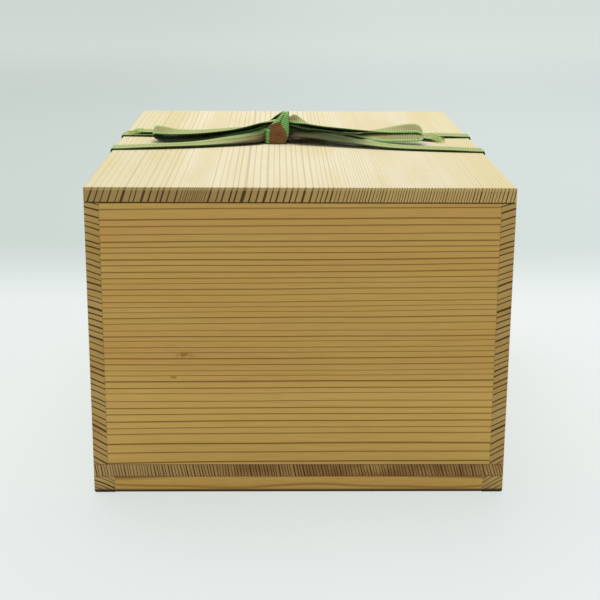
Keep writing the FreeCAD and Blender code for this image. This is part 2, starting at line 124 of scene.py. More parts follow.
class Graph:
    """Adds nodes to one node tree and links them by plain calls."""

    def __init__(self, tree: bpy.types.NodeTree) -> None:
        """Keeps the tree that the nodes go into."""
        self.tree = tree

    def node(self, kind: str, **settings: object) -> bpy.types.Node:
        """Adds a node and sets its own options.

        Args:
            kind: The node's type name.
            settings: Options of the node, by name.

        Returns:
            The new node.
        """
        made = self.tree.nodes.new(kind)
        for name, value in settings.items():
            setattr(made, name, value)
        return made

    def feed(self, socket: Socket, value: object) -> None:
        """Links a socket to another, or sets its plain value.

        Args:
            socket: The input.
            value: A socket, or the value.
        """
        if isinstance(value, Socket):
            self.tree.links.new(value, socket)
        else:
            socket.default_value = value

    def fed(self, made: bpy.types.Node, **values: object) -> Outputs:
        """Feeds a node's inputs by name.

        Args:
            made: The node.
            values: A value or socket for each input, with an underscore for each space.

        Returns:
            The node's outputs.
        """
        for name, value in values.items():
            self.feed(made.inputs[name.replace("_", " ")], value)
        return made.outputs

    def math(self, operation: str, first: object, second: object = 0.0) -> Socket:
        """Works out one step with two numbers.

        Args:
            operation: Blender's name of the step.
            first: A socket or a number.
            second: A socket or a number.

        Returns:
            The result's socket.
        """
        made = self.node("ShaderNodeMath", operation=operation)
        self.feed(made.inputs[0], first)
        self.feed(made.inputs[1], second)
        return made.outputs[0]

    def plus(self, first: object, second: object) -> Socket:
        """The sum of two numbers."""
        return self.math("ADD", first, second)

    def minus(self, first: object, second: object) -> Socket:
        """One number less another."""
        return self.math("SUBTRACT", first, second)

    def times(self, first: object, second: object) -> Socket:
        """The product of two numbers."""
        return self.math("MULTIPLY", first, second)

    def vector(self, operation: str, first: object, second: object = (0.0, 0.0, 0.0),
               result: str = "Vector") -> Socket:
        """Works out one step with two vectors.

        Args:
            operation: Blender's name of the step.
            first: A socket or a vector.
            second: A socket or a vector.
            result: Which output is wanted, the vector or the value.

        Returns:
            The result's socket.
        """
        made = self.node("ShaderNodeVectorMath", operation=operation)
        self.feed(made.inputs[0], first)
        self.feed(made.inputs[1], second)
        return made.outputs[result]

    def scaled(self, vector: object, factor: object) -> Socket:
        """Scales a vector.

        Args:
            vector: A socket or a vector.
            factor: A socket or a number.

        Returns:
            The vector times the number.
        """
        made = self.node("ShaderNodeVectorMath", operation="SCALE")
        self.feed(made.inputs[0], vector)
        return self.fed(made, Scale=factor)["Vector"]

    def split(self, vector: object) -> Outputs:
        """The X, Y and Z of a vector."""
        return self.fed(self.node("ShaderNodeSeparateXYZ"), Vector=vector)

    def noise(self, vector: object, scale: float, detail: float = 2.0,
              roughness: float = 0.5) -> Socket:
        """A cloudy value between 0 and 1."""
        return self.fed(self.node("ShaderNodeTexNoise"), Vector=vector, Scale=scale,
                        Detail=detail, Roughness=roughness)["Fac"]

    def step(self, value: object, low: object, high: object, first: object = 0.0,
             last: object = 1.0) -> Socket:
        """Steps softly from one value to another.

        Args:
            value: What decides the step.
            low: Where the step begins.
            high: Where it ends.
            first: The value before the step.
            last: The value after it.

        Returns:
            The stepped value.
        """
        made = self.node("ShaderNodeMapRange", interpolation_type="SMOOTHSTEP")
        return self.fed(made, Value=value, From_Min=low, From_Max=high, To_Min=first,
                        To_Max=last)["Result"]

    def mix(self, share: object, first: object, second: object) -> Socket:
        """A colour between two."""
        made = self.node("ShaderNodeMix", data_type="RGBA")
        return self.fed(made, Factor=share, A=first, B=second)["Result"]

    def bump(self, height: object, strength: float, distance: float) -> Socket:
        """A normal that follows a height."""
        return self.fed(self.node("ShaderNodeBump"), Strength=strength, Distance=distance,
                        Height=height)["Normal"]

    def surface(self, colour: Socket, roughness: object, shine: float = 0.5,
                normal: Socket | None = None) -> None:
        """Ends a material in one Principled surface.

        Args:
            colour: The base colour.
            roughness: A socket or a number.
            shine: The specular level.
            normal: The normal, where the surface has a bump.
        """
        shader = self.node("ShaderNodeBsdfPrincipled")
        self.fed(shader, Base_Color=colour, Roughness=roughness, Specular_IOR_Level=shine)
        if normal is not None:
            self.feed(shader.inputs["Normal"], normal)
        self.fed(self.node("ShaderNodeOutputMaterial"), Surface=shader.outputs["BSDF"])


def new_material(name: str) -> tuple[bpy.types.Material, Graph]:
    """Makes an empty material.

    Args:
        name: The material's name.

    Returns:
        The material and the graph of its nodes.
    """
    made = bpy.data.materials.new(name)
    made.use_nodes = True
    made.node_tree.nodes.clear()
    return made, Graph(made.node_tree)


class EffectGroup:
    """A shared surface effect: one node group, built once and placed in many materials."""

    def __init__(self, name: str, inputs: dict[str, str], outputs: dict[str, str]) -> None:
        """Makes an empty group with its sockets.

        Args:
            name: The group's name.
            inputs: Each input's name and socket type.
            outputs: Each output's name and socket type.
        """
        self.tree = bpy.data.node_groups.new(name, "ShaderNodeTree")
        for label, kind in inputs.items():
            self.tree.interface.new_socket(name=label, in_out="INPUT", socket_type=kind)
        for label, kind in outputs.items():
            self.tree.interface.new_socket(name=label, in_out="OUTPUT", socket_type=kind)
        self.graph = Graph(self.tree)
        self.given = self.graph.node("NodeGroupInput").outputs
        self.results = self.graph.node("NodeGroupOutput")

    def give(self, **results: object) -> None:
        """Feeds the group's outputs by name."""
        self.graph.fed(self.results, **results)

    def place(self, graph: Graph, **values: object) -> Outputs:
        """Puts the group into a material.

        Args:
            graph: The material's graph.
            values: A value or socket for each input, with an underscore for each space.

        Returns:
            The placed group's outputs.
        """
        return graph.fed(graph.node("ShaderNodeGroup", node_tree=self.tree), **values)


def growth_ring_group() -> EffectGroup:
    """Growth rings of a tree, cut by whatever face a board shows.

    Returns:
        A group that gives the dark late wood of each ring, a tone that differs from ring to
        ring, the fibres, cloudy patches, a mask for the ends of the fibres, and a height.
    """
    group = EffectGroup(
        "growth_rings",
        {"Place": VECTOR, "Facing": VECTOR, "Heart": VECTOR, "Grain": VECTOR, "Pitch": NUMBER,
         "Wander": NUMBER, "Lean": NUMBER, "Dense From": NUMBER, "Dense To": NUMBER,
         "Dense Rings": NUMBER, "Line": NUMBER, "Band From": NUMBER, "Band To": NUMBER,
         "Band Rings": NUMBER},
        {"Late": NUMBER, "Tone": NUMBER, "Fibre": NUMBER, "Patch": NUMBER, "End": NUMBER,
         "Height": NUMBER})
    g, given = group.graph, group.given
    place, grain = given["Place"], given["Grain"]
    patch_stretch, fibre_stretch = 0.16, 0.025
    sway_scale, patch_scale, fibre_scale = 38.0, 55.0, 2600.0
    line_end, ring_end = 0.90, 0.92
    along = g.vector("DOT_PRODUCT", place, grain, "Value")
    lengthwise = g.scaled(grain, along)
    crosswise = g.vector("SUBTRACT", place, lengthwise)
    stretched = g.vector("ADD", crosswise, g.scaled(lengthwise, patch_stretch))
    fibres = g.vector("ADD", crosswise, g.scaled(lengthwise, fibre_stretch))
    from_heart = g.vector("SUBTRACT", crosswise, given["Heart"])
    heart_along = g.vector("DOT_PRODUCT", from_heart, grain, "Value")
    radial = g.vector("SUBTRACT", from_heart, g.scaled(grain, heart_along))
    radius = g.vector("LENGTH", radial, result="Value")
    sway = g.minus(g.noise(stretched, sway_scale, 2.0, 0.45), 0.5)
    waved = g.plus(radius, g.times(sway, given["Wander"]))
    leaned = g.plus(waved, g.times(along, given["Lean"]))
    count = g.math("DIVIDE", leaned, given["Pitch"])
    spread = g.noise(g.scaled((1.0, 0.37, 0.71), g.times(count, 0.41)), 1.0)
    uneven = g.plus(count, g.times(g.minus(spread, 0.5), 1.5))
    dense = g.step(leaned, given["Dense From"], given["Dense To"], 0.0, given["Dense Rings"])
    band = g.step(leaned, given["Band From"], given["Band To"], 0.0, given["Band Rings"])
    rings = g.plus(g.plus(uneven, dense), band)
    ring = g.math("FLOOR", rings)
    share = g.minus(rings, ring)
    tone = g.fed(g.node("ShaderNodeTexWhiteNoise", noise_dimensions="1D"), W=ring)["Value"]
    start = g.minus(ring_end, g.times(given["Line"], g.plus(tone, 1.1)))
    dark = g.times(g.step(share, start, line_end), g.step(share, 1.0, ring_end))
    fibre = g.noise(fibres, fibre_scale, 3.0, 0.6)
    facing = g.math("ABSOLUTE", g.vector("DOT_PRODUCT", given["Facing"], grain, "Value"))
    group.give(Late=dark, Tone=tone, Fibre=fibre, Patch=g.noise(stretched, patch_scale),
               End=g.step(facing, 0.55, 0.75),
               Height=g.plus(g.times(dark, 0.6), g.times(fibre, 0.4)))
    return group


def flat_weave_group() -> EffectGroup:
    """The weave of the flat cord, from a map with ribs along U and the width along V.

    Returns:
        A group that gives the two edge bands, the ribs, the warp threads, cloudy wear and a
        height.
    """
    group = EffectGroup(
        "flat_weave",
        {"Thread": VECTOR, "Place": VECTOR, "Band": NUMBER},
        {"Edge": NUMBER, "Rib": NUMBER, "Warp": NUMBER, "Wear": NUMBER, "Height": NUMBER})
    g, given = group.graph, group.given
    thread, place = g.split(given["Thread"]), given["Place"]
    ragged_share, soft_edge, warp_threads = 0.05, 0.03, 26.0

    def wave(value: Socket, turns: float) -> Socket:
        """A wave between 0 and 1, with so many turns for each unit of a value."""
        return g.plus(g.times(g.math("COSINE", g.times(value, 2.0 * math.pi * turns)), 0.5), 0.5)

    ragged = g.times(g.minus(g.noise(place, 900.0, 1.0), 0.5), ragged_share)
    off_middle = g.plus(g.math("ABSOLUTE", g.minus(thread["Y"], 0.5)), ragged)
    limit = g.minus(0.5, given["Band"])
    edge = g.step(off_middle, g.minus(limit, soft_edge), g.plus(limit, soft_edge))
    rib, warp = wave(thread["X"], 1.0), wave(thread["Y"], warp_threads)
    group.give(Edge=edge, Rib=rib, Warp=warp, Wear=g.noise(place, 160.0, 3.0, 0.6),
               Height=g.plus(g.times(warp, 0.35), g.times(rib, 0.65)))
    return group


@dataclass(frozen=True)
class Seam:
    """A band of another tone along a board: painted shade or light, a ring line, or a paler band.
    """

    axis: str
    place: float
    half: float
    share: float
    tone: Colour = srgb(38, 24, 8)
    sway: float = 0.0

    def over(self, g: Graph, where: Socket, colour: Socket) -> Socket:
        """Lays the band over a colour.

        Args:
            g: The material's graph.
            where: The place on the board.
            colour: The colour below.

        Returns:
            The colour with the band on it.
        """
        off = g.minus(g.split(where)[self.axis], self.place)
        if self.sway:
            off = g.plus(off, g.times(g.minus(g.noise(where, 11.0, 1.0), 0.5), self.sway))
        share = g.step(g.math("ABSOLUTE", off), self.half, self.half * 0.5, 0.0, self.share)
        return g.mix(share, colour, self.tone)


@dataclass(frozen=True)
class CedarFinish:
    """Planed, unfinished cedar, cut from a tree whose heart lies at one side of the board."""

    name: str
    grain: Grain
    heart: Place
    pitch: float = 0.0033
    wander: float = 0.0024
    lean: float = 0.0
    dense_from: float = 10.0
    dense_to: float = 11.0
    dense_rings: float = 0.0
    line: float = 0.13
    pale: Colour = srgb(228, 188, 104)
    rosy: Colour = srgb(230, 182, 100)
    late: Colour = srgb(150, 106, 40)
    end_pale: Colour = srgb(186, 156, 104)
    end_late: Colour = srgb(84, 54, 22)
    end_tint: Colour = srgb(176, 142, 84)
    stain: Colour = srgb(150, 88, 34)
    roughness: float = 0.62
    stains: tuple[tuple[Place, Place], ...] = ()
    seams: tuple[Seam, ...] = ()
    flat_tints: tuple[Seam, ...] = ()
    end_tints: tuple[Seam, ...] = ()
    end_bite: float = 1.0
    band: tuple[float, float, float] = (20.0, 21.0, 0.0)

    def material(self, rings: EffectGroup) -> bpy.types.Material:
        """Builds the material of one board.

        Args:
            rings: The shared growth-ring group.

        Returns:
            The finished material.
        """
        made, g = new_material(self.name)
        seen = g.node("ShaderNodeTexCoord").outputs
        where = seen["Object"]
        cut = rings.place(
            g, Place=where, Facing=seen["Normal"], Heart=self.heart, Grain=self.grain.value,
            Pitch=self.pitch, Wander=self.wander, Lean=self.lean, Line=self.line,
            Dense_From=self.dense_from, Dense_To=self.dense_to, Dense_Rings=self.dense_rings,
            Band_From=self.band[0], Band_To=self.band[1], Band_Rings=self.band[2])
        patch = g.step(cut["Patch"], 0.35, 0.68)
        flat = g.mix(patch, self.pale, self.rosy)
        for tint in self.flat_tints:
            flat = tint.over(g, where, flat)
        depth = g.times(cut["Late"], g.plus(g.times(cut["Tone"], 0.2), 0.8))
        flat = g.mix(depth, flat, self.late)
        flat = g.mix(g.step(cut["Fibre"], 0.62, 0.25, 0.0, 0.18), flat, self.late)
        ends = g.mix(patch, self.end_pale, self.end_tint)
        for tint in self.end_tints:
            ends = tint.over(g, where, ends)
        speckle = g.step(g.noise(where, 2400.0), 0.45, 0.75, 0.0, 0.3)
        ends = g.mix(speckle, ends, self.end_late)
        ends = g.mix(g.step(cut["Late"], 0.0, self.end_bite, 0.0, 0.95), ends, self.end_late)
        colour = g.mix(cut["End"], flat, ends)
        for middle, reach in self.stains:
            near = g.vector("DIVIDE", g.vector("SUBTRACT", where, middle), reach)
            ragged = g.plus(g.vector("LENGTH", near, result="Value"),
                            g.times(g.noise(where, 420.0, 3.0, 0.7), 1.6))
            colour = g.mix(g.step(ragged, 1.6, 0.9, 0.0, 0.6), colour, self.stain)
        for seam in self.seams:
            colour = seam.over(g, where, colour)
        rough = g.plus(g.times(cut["Fibre"], 0.16), self.roughness - 0.08)
        g.surface(colour, rough, 0.32, normal=g.bump(cut["Height"], 0.35, 0.00012))
        return made


@dataclass(frozen=True)
class CordFinish:
    """Flat woven cord: a brown middle between two light green edge bands."""

    name: str
    middle: Colour = srgb(132, 86, 48)
    middle_groove_shade: Colour = srgb(92, 54, 28)
    middle_faded: Colour = srgb(146, 106, 70)
    edge: Colour = srgb(138, 200, 112)
    edge_groove_shade: Colour = srgb(84, 140, 70)
    wear_and_sheen: Colour = srgb(190, 200, 134)
    painted_shade_tone: Colour = srgb(20, 30, 12)
    band: float = 0.21
    roughness: float = 0.85

    def material(self, weave: EffectGroup) -> bpy.types.Material:
        """Builds the cord's material.

        Args:
            weave: The shared weave group.

        Returns:
            The finished material.
        """
        made, g = new_material(self.name)
        where = g.node("ShaderNodeTexCoord").outputs
        cloth = weave.place(g, Thread=where["UV"], Place=where["Object"], Band=self.band)
        # Painted shade in the grooves between the ribs, in the brown and in the green.
        fold = g.plus(g.times(cloth["Rib"], 0.75), g.times(cloth["Warp"], 0.25))
        brown = g.mix(fold, self.middle_groove_shade, self.middle)
        faded = g.step(g.noise(where["Object"], 95.0), 0.42, 0.62, 0.0, 0.6)
        brown = g.mix(faded, brown, self.middle_faded)
        green = g.mix(g.step(cloth["Rib"], 0.0, 0.7), self.edge_groove_shade, self.edge)
        colour = g.mix(cloth["Edge"], brown, green)
        colour = g.mix(g.step(cloth["Wear"], 0.58, 0.8, 0.0, 0.2), colour, self.wear_and_sheen)
        # Painted sheen: faces seen at a glancing angle turn pale, more on the ribs' crests.
        facing = g.fed(g.node("ShaderNodeLayerWeight"), Blend=0.5)["Facing"]
        onset = g.minus(0.3, g.times(cloth["Edge"], 0.25))
        painted_sheen = g.times(g.step(facing, onset, 0.85, 0.0, 0.9),
                       g.plus(g.times(cloth["Rib"], 0.35), 0.65))
        colour = g.mix(painted_sheen, colour, self.wear_and_sheen)
        # Painted shade: rims and one face, and the marked runs, darken towards a near-black tone.
        side = g.node("ShaderNodeAttribute", attribute_name="painted_light_level").outputs["Fac"]
        colour = g.mix(g.step(side, 0.93, 0.6, 0.0, 0.8), colour, self.painted_shade_tone)
        relief = g.bump(cloth["Height"], 0.5, 0.00018)
        g.surface(colour, self.roughness, 0.15, normal=relief)
        return made


@dataclass(frozen=True)
class PegFinish:
    """Hard wooden pegs, cut flush, which show their end grain."""

    name: str = "peg_hardwood"
    pale: Colour = srgb(150, 112, 66)
    dark: Colour = srgb(108, 74, 40)

    def material(self) -> bpy.types.Material:
        """Builds the pegs' material.

        Returns:
            The finished material.
        """
        made, g = new_material(self.name)
        where = g.node("ShaderNodeTexCoord").outputs["Object"]
        pores = g.noise(where, 3200.0, 3.0, 0.6)
        colour = g.mix(g.step(pores, 0.42, 0.66), self.dark, self.pale)
        colour = g.mix(g.times(g.noise(where, 300.0), 0.4), colour, self.dark)
        g.surface(colour, 0.6, normal=g.bump(pores, 0.3, 0.0001))
        return made


@dataclass(frozen=True)
class FringeFinish:
    """The loosened yellow-green threads at the cord's cut ends."""

    name: str = "loose_threads"
    pale: Colour = srgb(226, 228, 150)
    green: Colour = srgb(158, 196, 104)

    def material(self) -> bpy.types.Material:
        """Builds the threads' material.

        Returns:
            The finished material.
        """
        made, g = new_material(self.name)
        cloud = g.noise(g.node("ShaderNodeTexCoord").outputs["Object"], 700.0)
        g.surface(g.mix(g.step(cloud, 0.4, 0.6), self.green, self.pale), 0.85)
        return made


def clear_selection() -> None:
    """Deselects everything, so that an operator acts on the new piece alone."""
    if bpy.context.object is not None and bpy.context.object.mode != "OBJECT":
        bpy.ops.object.mode_set(mode="OBJECT")
    bpy.ops.object.select_all(action="DESELECT")


def select_only(piece: bpy.types.Object) -> None:
    """Selects one piece alone.

    Args:
        piece: What the next operator acts on.
    """
    clear_selection()
    piece.select_set(True)
    bpy.context.view_layer.objects.active = piece


def new_curve(name: str, resolution: int) -> bpy.types.Object:
    """Adds an empty curve to the scene.

    Args:
        name: Its name.
        resolution: The number of steps between two of its points.

    Returns:
        The object that holds the curve.
    """
    curve = bpy.data.curves.new(name, "CURVE")
    curve.dimensions = "3D"
    curve.resolution_u = resolution
    holder = bpy.data.objects.new(name, curve)
    bpy.context.scene.collection.objects.link(holder)
    return holder


def new_line(curve: bpy.types.Curve, points: list[Vector]) -> bpy.types.Spline:
    """Adds a smooth line to a curve.

    Args:
        curve: The curve.
        points: The points that steer the line.

    Returns:
        The new line.
    """
    spline = curve.splines.new("NURBS")
    spline.points.add(len(points) - 1)
    for held, point in zip(spline.points, points):
        held.co = (*point, 1.0)
    spline.order_u = 3
    spline.use_endpoint_u = True
    return spline


def dress(node: str, material: bpy.types.Material) -> None:
    """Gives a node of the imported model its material.

    Args:
        node: The node's name.
        material: The material, which each of its slots takes.
    """
    for held in FRAME["nodes"][node].material_slots:
        held.material = material
    LOG.info("dressed %s", node)


@dataclass
class Carcass:
    """The box below the lid: walls, bottom board, foot rails and their pegs."""

    side_heart: float = 0.181
    low_heart: float = -0.113
    stain: Place = (-0.0575, -0.1475, 0.0743)
    small_stain: Place = (-0.0632, -0.1475, 0.0623)
    wall_top: float = 0.1513
    bottom_top: float = 0.0153
    rail_top: float = 0.0088
    corner: float = 0.0978
    end_pale: Colour = srgb(208, 170, 98)
    end_tint: Colour = srgb(198, 156, 80)
    end_late: Colour = srgb(76, 46, 14)
    rail_pale: Colour = srgb(222, 184, 112)
    rail_tint: Colour = srgb(212, 170, 96)

    def finishes(self) -> dict[str, CedarFinish]:
        """The finish of each board, which sets where its tree's heart lay.

        Returns:
            The finishes by the name of the node.
        """
        marks = ((self.stain, (0.0075, 0.01, 0.0022)), (self.small_stain, (0.003, 0.01, 0.0012)))
        # The joint bands are painted shade in the joints between the boards.
        lid_joint = Seam("Z", self.wall_top, 0.0003, 0.5)
        base_joint = Seam("Z", self.bottom_top, 0.0003, 0.45)
        rail_joint = Seam("Z", self.rail_top, 0.0003, 0.45)
        corners = (Seam("X", -self.corner, 0.0003, 0.4), Seam("X", self.corner, 0.0003, 0.4))
        # Painted shade along the rails' bottom edge, where they meet the floor.
        painted_shade = Seam("Z", -0.0002, 0.0026, 0.9)
        ring = Seam("Z", 0.0043, 0.0009, 0.5, srgb(150, 106, 40), -0.010)
        # Painted light: the front wall paler towards its foot, for the light the floor throws up.
        painted_light_foot = Seam("Z", self.bottom_top, 0.060, 0.6, srgb(238, 194, 104))
        wall = (lid_joint, base_joint)
        rail = (rail_joint, painted_shade)
        looks = {
            "wall_front": CedarFinish(
                "cedar_wall_front", Grain.ACROSS, (0.0, -0.132, -0.175), pitch=0.0044,
                lean=-0.008, dense_from=0.205, dense_to=0.333, dense_rings=9.7,
                pale=srgb(219, 176, 92), rosy=srgb(220, 170, 89), late=srgb(140, 96, 32),
                stains=marks, flat_tints=(painted_light_foot,), seams=wall + corners),
            "wall_rear": CedarFinish(
                "cedar_wall_rear", Grain.ACROSS, (0.0, 0.120, -0.190), lean=0.006,
                seams=wall + corners),
            "bottom_board": CedarFinish(
                "cedar_bottom", Grain.DEEP, (0.300, 0.0, 0.075), pitch=0.0015, line=0.20,
                end_late=srgb(84, 48, 18), end_pale=srgb(206, 164, 96),
                end_tint=srgb(166, 120, 64), end_bite=0.35, seams=(base_joint, rail_joint),
                end_tints=(Seam("X", -0.105, 0.06, 0.6, srgb(222, 188, 122)),)),
            "foot_rail_front": CedarFinish(
                "cedar_rail_front", Grain.ACROSS, (0.0, -0.210, -0.030), pitch=0.0062,
                wander=0.006, line=0.16, pale=srgb(238, 194, 104), rosy=srgb(240, 187, 98),
                flat_tints=(ring,), seams=rail),
            "foot_rail_rear": CedarFinish(
                "cedar_rail_rear", Grain.ACROSS, (0.0, 0.215, -0.034), pitch=0.0062,
                wander=0.006, line=0.16, seams=rail),
        }
        for side, way, rail_heart in (("left", -1.0, -0.160), ("right", 1.0, 0.190)):
            looks[f"wall_{side}"] = CedarFinish(
                f"cedar_wall_{side}", Grain.DEEP, (way * self.side_heart, 0.0, self.low_heart),
                pitch=0.0029, line=0.17, end_pale=self.end_pale, end_tint=self.end_tint,
                end_late=self.end_late, end_bite=0.6, seams=wall)
            looks[f"foot_rail_{side}"] = CedarFinish(
                f"cedar_rail_{side}", Grain.DEEP, (rail_heart, 0.0, -0.130), pitch=0.0019,
                line=0.17, end_pale=self.rail_pale, end_tint=self.rail_tint,
                end_late=self.end_late, end_bite=0.6, seams=rail)
        return looks

    def build(self, rings: EffectGroup, pegs: bpy.types.Material) -> None:
        """Dresses the boards and the pegs of the box body.

        Args:
            rings: The shared growth-ring group.
            pegs: The pegs' material.
        """
        for node, finish in self.finishes().items():
            dress(node, finish.material(rings))
        for node in ("wall_pegs", "bottom_pegs", "foot_pegs"):
            dress(node, pegs)


@dataclass
class LidFrame:
    """The lid board and the battens under it."""

    heart: Place = (-0.387, 0.0, 0.260)
    radius_at_left: float = 0.300
    base: float = 0.1513
    top: float = 0.1579
    # Paler than the walls: partly the board's own tone, partly painted light for the bright top.
    pale: Colour = srgb(235, 223, 188)
    rosy: Colour = srgb(230, 214, 168)
    late: Colour = srgb(204, 188, 146)

    def build(self, rings: EffectGroup, pegs: bpy.types.Material) -> None:
        """Dresses the lid board, its battens and their pegs.

        Args:
            rings: The shared growth-ring group.
            pegs: The pegs' material.
        """
        edge = self.radius_at_left
        board = CedarFinish(
            "cedar_lid", Grain.DEEP, self.heart, pitch=0.0031, wander=0.0012, pale=self.pale,
            rosy=self.rosy, late=self.late, line=0.15, dense_from=edge + 0.105,
            dense_to=edge + 0.215, dense_rings=34.0, band=(edge + 0.044, edge + 0.059, 8.0),
            # The band at the lid's base is painted shade in its joint with the walls.
            seams=(Seam("Z", self.base, 0.0006, 0.9),
                   Seam("Z", self.top, 0.0008, 0.35, srgb(226, 190, 128))),
            flat_tints=(Seam("X", -0.105, 0.050, 0.45, srgb(214, 200, 140)),
                        Seam("X", 0.105, 0.035, 0.35, srgb(226, 208, 140))),
            end_tints=(Seam("X", -0.105, 0.110, 0.45, srgb(160, 128, 76)),
                       Seam("X", 0.105, 0.100, 0.5, srgb(232, 198, 124))),
            end_pale=srgb(206, 171, 98), end_tint=srgb(195, 157, 86), end_late=srgb(78, 48, 16),
            end_bite=0.22)
        dress("lid_board", board.material(rings))
        for side, grain, heart in (("left", Grain.DEEP, (-0.250, 0.0, 0.0)),
                                   ("right", Grain.DEEP, (0.260, 0.0, 0.01)),
                                   ("front", Grain.ACROSS, (0.0, -0.3, 0.02)),
                                   ("rear", Grain.ACROSS, (0.0, 0.31, 0.0))):
            batten = CedarFinish(f"cedar_batten_{side}", grain, heart)
            dress(f"lid_batten_{side}", batten.material(rings))
        dress("batten_pegs", pegs)


@dataclass(frozen=True)
class Bearing:
    """One point of a cord's route: its middle, roll about X (rear edge up) and width.

    The cup is how far both edges stand off the middle, upward on a cord that runs along X.
    """

    x: float
    y: float
    z: float
    roll: float = 0.0
    width: float = 0.014
    cup: float = 0.0

    def edges(self) -> tuple[Vector, Vector, Vector]:
        """Works out the cord's lines at this point.

        Returns:
            The front edge, the middle and the rear edge.
        """
        turn = math.radians(self.roll)
        across = Vector((0.0, math.cos(turn), math.sin(turn)))
        rise = Vector((0.0, -math.sin(turn), math.cos(turn))) * self.cup
        middle = Vector((self.x, self.y, self.z))
        half = across * (self.width / 2.0)
        return middle - half + rise, middle, middle + half + rise


@dataclass(frozen=True)
class WrapBearing:
    """One point of the knot's wrap, whose width lies along X and which runs round in Y and Z.

    The bulge is how far the middle stands out from the edges, away from the knot's core.
    """

    y: float
    z: float
    width: float
    x: float
    bulge: float = 0.0
    core: tuple[float, float] = (0.004, 0.1648)

    def edges(self) -> tuple[Vector, Vector, Vector]:
        """Works out the wrap's lines at this point.

        Returns:
            The left edge, the middle and the right edge.
        """
        middle = Vector((self.x, self.y, self.z))
        outward = Vector((0.0, self.y - self.core[0], self.z - self.core[1]))
        rise = outward.normalized() * self.bulge if outward.length > 0.0 else outward
        half = Vector((self.width / 2.0, 0.0, 0.0))
        return middle - half - rise, middle, middle + half - rise


